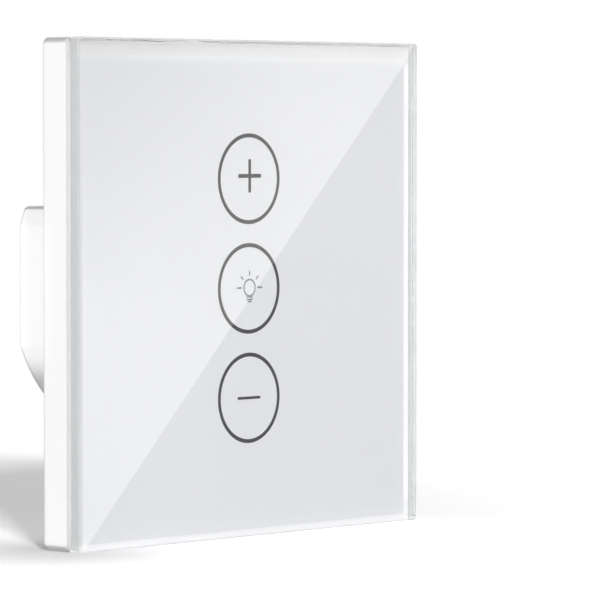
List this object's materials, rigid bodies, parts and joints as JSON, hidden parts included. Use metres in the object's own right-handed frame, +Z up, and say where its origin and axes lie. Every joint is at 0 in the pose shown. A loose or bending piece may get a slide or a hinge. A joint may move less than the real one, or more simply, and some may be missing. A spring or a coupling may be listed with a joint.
{
  "type": "touch dimmer switch",
  "caption": "Square glass-fronted touch dimmer for a round wall box, with a pull-off front panel on a folded plate, a stepped back module and screw-clamp wire terminals.",
  "frame": {"origin": "centre of the wall plane, midway between the two wall screw slots", "axes": "+X right and +Z up for someone facing the switch; +Y into the wall, so the glass faces -Y"},
  "size_m": [0.086, 0.0336, 0.086],
  "materials": {
    "panel_glass": "polished, printed white on its back face",
    "frame_plastic": "satin gloss white",
    "tape_foam": "matte white acrylic foam",
    "plate_steel": "zinc-plated sheet",
    "housing_plastic": "fine moulded grain, white",
    "screw_steel": "zinc-plated",
    "board_laminate": "green solder mask",
    "shroud_plastic": "white, diffusing",
    "spring_metal": "plated spring wire",
    "lamp_resin": "clear resin on a white body",
    "chip_moulding": "black moulding compound",
    "shield_tin": "tinned sheet",
    "black_plastic": "black nylon",
    "contact_brass": "bright",
    "ferrite": "matte dark grey",
    "coil_tape": "yellow insulating tape",
    "can_sleeve": "dark sleeve",
    "film_case": "yellow case",
    "fuse_case": "dark brown case",
    "varistor_coat": "blue coating",
    "inductor_sleeve": "shrink sleeve over a drum core",
    "sink_aluminium": "plain mill finish",
    "pad_silicone": "grey silicone",
    "terminal_plastic": "dark grey moulding",
    "clamp_steel": "nickel-plated"
  },
  "bodies": {
    "base": {"back_housing": "housing_plastic", "bridge_rectifier": "chip_moulding", "bulk_capacitors": "can_sleeve", "converter_chip": "chip_moulding", "cover_screws": "screw_steel", "dimming_controller": "chip_moulding", "dimming_transistors": "chip_moulding", "film_capacitor": "film_case", "filter_inductor": "inductor_sleeve", "fuse": "fuse_case", "header_pins": "contact_brass", "header_socket": "black_plastic", "header_strip": "black_plastic", "heat_sink": "sink_aluminium", "indicator_lamps": "lamp_resin", "light_shroud": "shroud_plastic", "module_cover": "housing_plastic", "mounting_plate": "plate_steel", "output_capacitor": "can_sleeve", "power_board": "board_laminate", "tab_screws": "screw_steel", "terminal_bar_line": "contact_brass", "terminal_bar_load": "contact_brass", "terminal_bar_neutral": "contact_brass", "terminal_housing_line": "terminal_plastic", "terminal_housing_load": "terminal_plastic", "terminal_housing_neutral": "terminal_plastic", "thermal_pads": "pad_silicone", "touch_board": "board_laminate", "touch_controller": "chip_moulding", "touch_springs": "spring_metal", "transformer_coil": "coil_tape", "transformer_core": "ferrite", "varistor": "varistor_coat", "wireless_board": "board_laminate", "wireless_shield": "shield_tin"},
    "front_panel": {"glass_panel": "panel_glass", "panel_frame": "frame_plastic", "adhesive_tape": "tape_foam"},
    "screw_line": {"terminal_screw_line": "screw_steel"},
    "clamp_line": {"terminal_clamp_line": "clamp_steel"},
    "screw_neutral": {"terminal_screw_neutral": "screw_steel"},
    "clamp_neutral": {"terminal_clamp_neutral": "clamp_steel"},
    "screw_load": {"terminal_screw_load": "screw_steel"},
    "clamp_load": {"terminal_clamp_load": "clamp_steel"}
  },
  "joints": [
    {"name": "panel_pull", "type": "slide", "parent": "base", "child": "front_panel", "axis": [0, -1, 0], "range_m": [0, 0.04]},
    {"name": "screw_turn_line", "type": "hinge", "parent": "base", "child": "screw_line", "pos_m": [-0.0075, 0.0152, 0.01885], "axis": [0, 1, 0], "range_deg": [-1800, 0]},
    {"name": "clamp_lift_line", "type": "slide", "parent": "base", "child": "clamp_line", "axis": [0, 1, 0], "range_m": [0, 0.0025]},
    {"name": "screw_turn_neutral", "type": "hinge", "parent": "base", "child": "screw_neutral", "pos_m": [0, 0.0152, 0.01885], "axis": [0, 1, 0], "range_deg": [-1800, 0]},
    {"name": "clamp_lift_neutral", "type": "slide", "parent": "base", "child": "clamp_neutral", "axis": [0, 1, 0], "range_m": [0, 0.0025]},
    {"name": "screw_turn_load", "type": "hinge", "parent": "base", "child": "screw_load", "pos_m": [0.0075, 0.0152, 0.01885], "axis": [0, 1, 0], "range_deg": [-1800, 0]},
    {"name": "clamp_lift_load", "type": "slide", "parent": "base", "child": "clamp_load", "axis": [0, 1, 0], "range_m": [0, 0.0025]}
  ],
  "couplings": [
    {"joint": "screw_turn_line", "follows": "clamp_lift_line", "rad_per_m": -12566},
    {"joint": "screw_turn_neutral", "follows": "clamp_lift_neutral", "rad_per_m": -12566},
    {"joint": "screw_turn_load", "follows": "clamp_lift_load", "rad_per_m": -12566}
  ]
}
